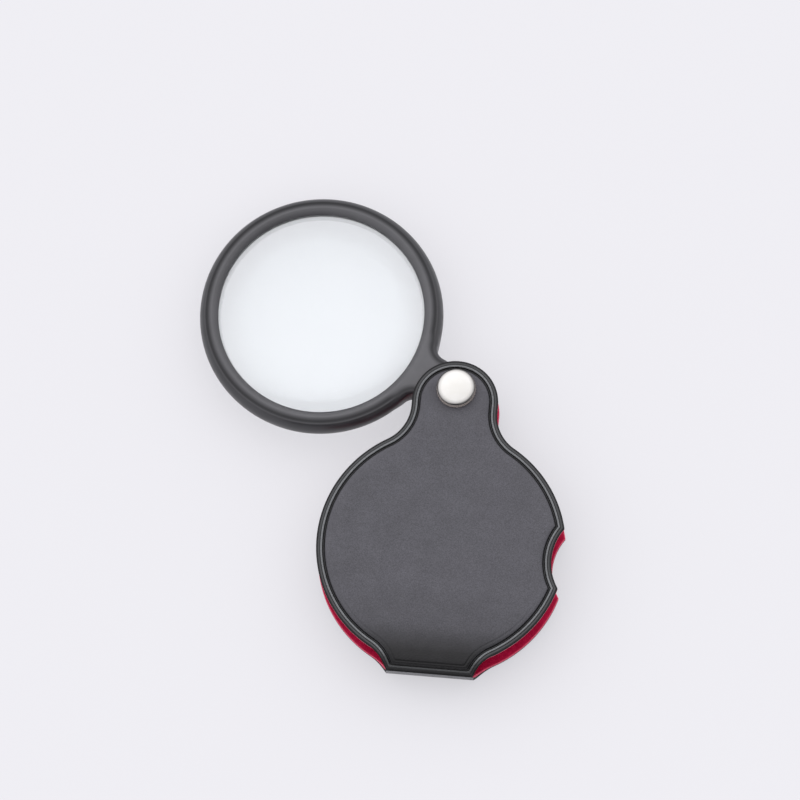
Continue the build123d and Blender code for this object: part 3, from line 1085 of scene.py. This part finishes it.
def cardboard():
    paint = Paint("stiffener_board", (0.36, 0.31, 0.24), 0.9)
    fibres = paint.noise(1600.0, 5.0, paint.stretched(1.0, 4.0, 2.0))
    paint.feed("Base Color", paint.mix(fibres, (0.24, 0.2, 0.15), (0.46, 0.41, 0.33)))
    paint.feed("Roughness", paint.varied(fibres, 0.82, 0.95))
    paint.bump(fibres, 0.4, 0.0001)
    return paint.material


def steel():
    paint = Paint("rivet_steel", (0.62, 0.6, 0.57), 0.35, 1.0)
    turned = paint.noise(3000.0, 3.0, paint.stretched(1.0, 1.0, 12.0))
    paint.feed("Base Color", paint.mix(turned, (0.52, 0.5, 0.47), (0.68, 0.66, 0.63)))
    paint.feed("Roughness", paint.varied(turned, 0.28, 0.46))
    paint.bump(turned, 0.15, 0.00003)
    return paint.material


def repaint(node, material):
    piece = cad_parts[node]
    piece.data.materials.clear()
    piece.data.materials.append(material)


# ---------------------------------------------------------------- studio

def make_camera():
    back = Vector(direction(VIEW_AZIMUTH, VIEW_ELEVATION))
    level = (-back).cross(Vector((0, 0, 1))).normalized()
    down = (-back).cross(level)
    roll = math.radians(VIEW_ROLL)
    right = level * math.cos(roll) + down * math.sin(roll)
    up = back.cross(right)
    turn = Matrix((right, up, back)).transposed().to_4x4()
    data = bpy.data.cameras.new("camera")
    data.lens = VIEW_LENS
    data.sensor_width = 36.0
    data.clip_end = 20.0
    camera = bpy.data.objects.new("camera", data)
    camera.matrix_world = Matrix.Translation(to_frame(VIEW_AIM) + back * VIEW_DISTANCE) @ turn
    bpy.context.scene.collection.objects.link(camera)
    bpy.context.scene.camera = camera


def facing(nodes, links, axis):
    """Cosine of the angle between a direction of the world and an axis."""
    place = nodes.new("ShaderNodeTexCoord")
    dot = nodes.new("ShaderNodeVectorMath")
    dot.operation = "DOT_PRODUCT"
    links.new(place.outputs["Generated"], dot.inputs[0])
    dot.inputs[1].default_value = axis
    return dot.outputs["Value"]


def dark_patch(nodes, links, azimuth, elevation, inner, outer, floor_level):
    """World brightness that falls off within an angle of one direction."""
    level = nodes.new("ShaderNodeMapRange")
    level.interpolation_type = "SMOOTHSTEP"
    links.new(facing(nodes, links, direction(azimuth, elevation)), level.inputs["Value"])
    level.inputs["From Min"].default_value = math.cos(math.radians(outer))
    level.inputs["From Max"].default_value = math.cos(math.radians(inner))
    level.inputs["To Min"].default_value = 1.0
    level.inputs["To Max"].default_value = floor_level
    return level.outputs["Result"]


def horizon(nodes, links, low, clear):
    """World brightness that rises from low at the horizon to 1 at a height."""
    place = nodes.new("ShaderNodeTexCoord")
    parts = nodes.new("ShaderNodeSeparateXYZ")
    links.new(place.outputs["Generated"], parts.inputs["Vector"])
    level = nodes.new("ShaderNodeMapRange")
    level.interpolation_type = "SMOOTHSTEP"
    links.new(parts.outputs["Z"], level.inputs["Value"])
    level.inputs["From Max"].default_value = clear
    level.inputs["To Min"].default_value = low
    return level.outputs["Result"]


def slope(nodes, links, axis, middle, gain):
    """World brightness that rises evenly towards one direction."""
    level = nodes.new("ShaderNodeMath")
    level.operation = "MULTIPLY_ADD"
    links.new(facing(nodes, links, axis), level.inputs[0])
    level.inputs[1].default_value = gain
    level.inputs[2].default_value = middle
    return level.outputs["Value"]


def make_world():
    world = bpy.data.worlds.new("studio")
    bpy.context.scene.world = world
    world.use_nodes = True
    nodes = world.node_tree.nodes
    links = world.node_tree.links
    levels = [dark_patch(nodes, links, *patch) for patch in DARK_PATCHES]
    levels.append(horizon(nodes, links, HORIZON_LEVEL, HORIZON_CLEAR))
    levels.append(slope(nodes, links, SLOPE_AXIS, SLOPE_MIDDLE, SLOPE_GAIN))
    level = levels[0]
    for other in levels[1:]:
        product = nodes.new("ShaderNodeMath")
        product.operation = "MULTIPLY"
        links.new(level, product.inputs[0])
        links.new(other, product.inputs[1])
        level = product.outputs["Value"]
    sky = nodes["Background"]
    sky.inputs["Color"].default_value = (*SKY_COLOUR, 1)
    links.new(level, sky.inputs["Strength"])
    bpy.context.scene.view_settings.view_transform = "Standard"


def make_floor():
    """Table top whose brightness is mostly its own glow, so that the shadows on it stay faint."""
    paint = Paint("floor", FLOOR_COLOUR, 0.8)
    paint.shader.inputs["Specular IOR Level"].default_value = 0.0
    paint.shader.inputs["Emission Color"].default_value = (*FLOOR_GLOW_COLOUR, 1)
    paint.shader.inputs["Emission Strength"].default_value = FLOOR_GLOW
    corners = [(x * FLOOR_HALF, y * FLOOR_HALF, cad_box[0].z)
               for x, y in ((-1, -1), (1, -1), (1, 1), (-1, 1))]
    mesh = bpy.data.meshes.new("floor")
    mesh.from_pydata(corners, [], [(0, 1, 2, 3)])
    mesh.materials.append(paint.material)
    floor = bpy.data.objects.new("floor", mesh)
    bpy.context.scene.collection.objects.link(floor)


# ---------------------------------------------------------------- build

make_camera()
make_world()
make_floor()

skin = make_skin(leatherette())
lining = make_lining(crimson())
make_frame(plastic())
make_glass(glass())
make_caps(nickel())
board_material = cardboard()
steel_material = steel()
repaint("front_board", board_material)
repaint("back_board", board_material)
repaint("rivet_post", steel_material)
repaint("rivet_socket", steel_material)
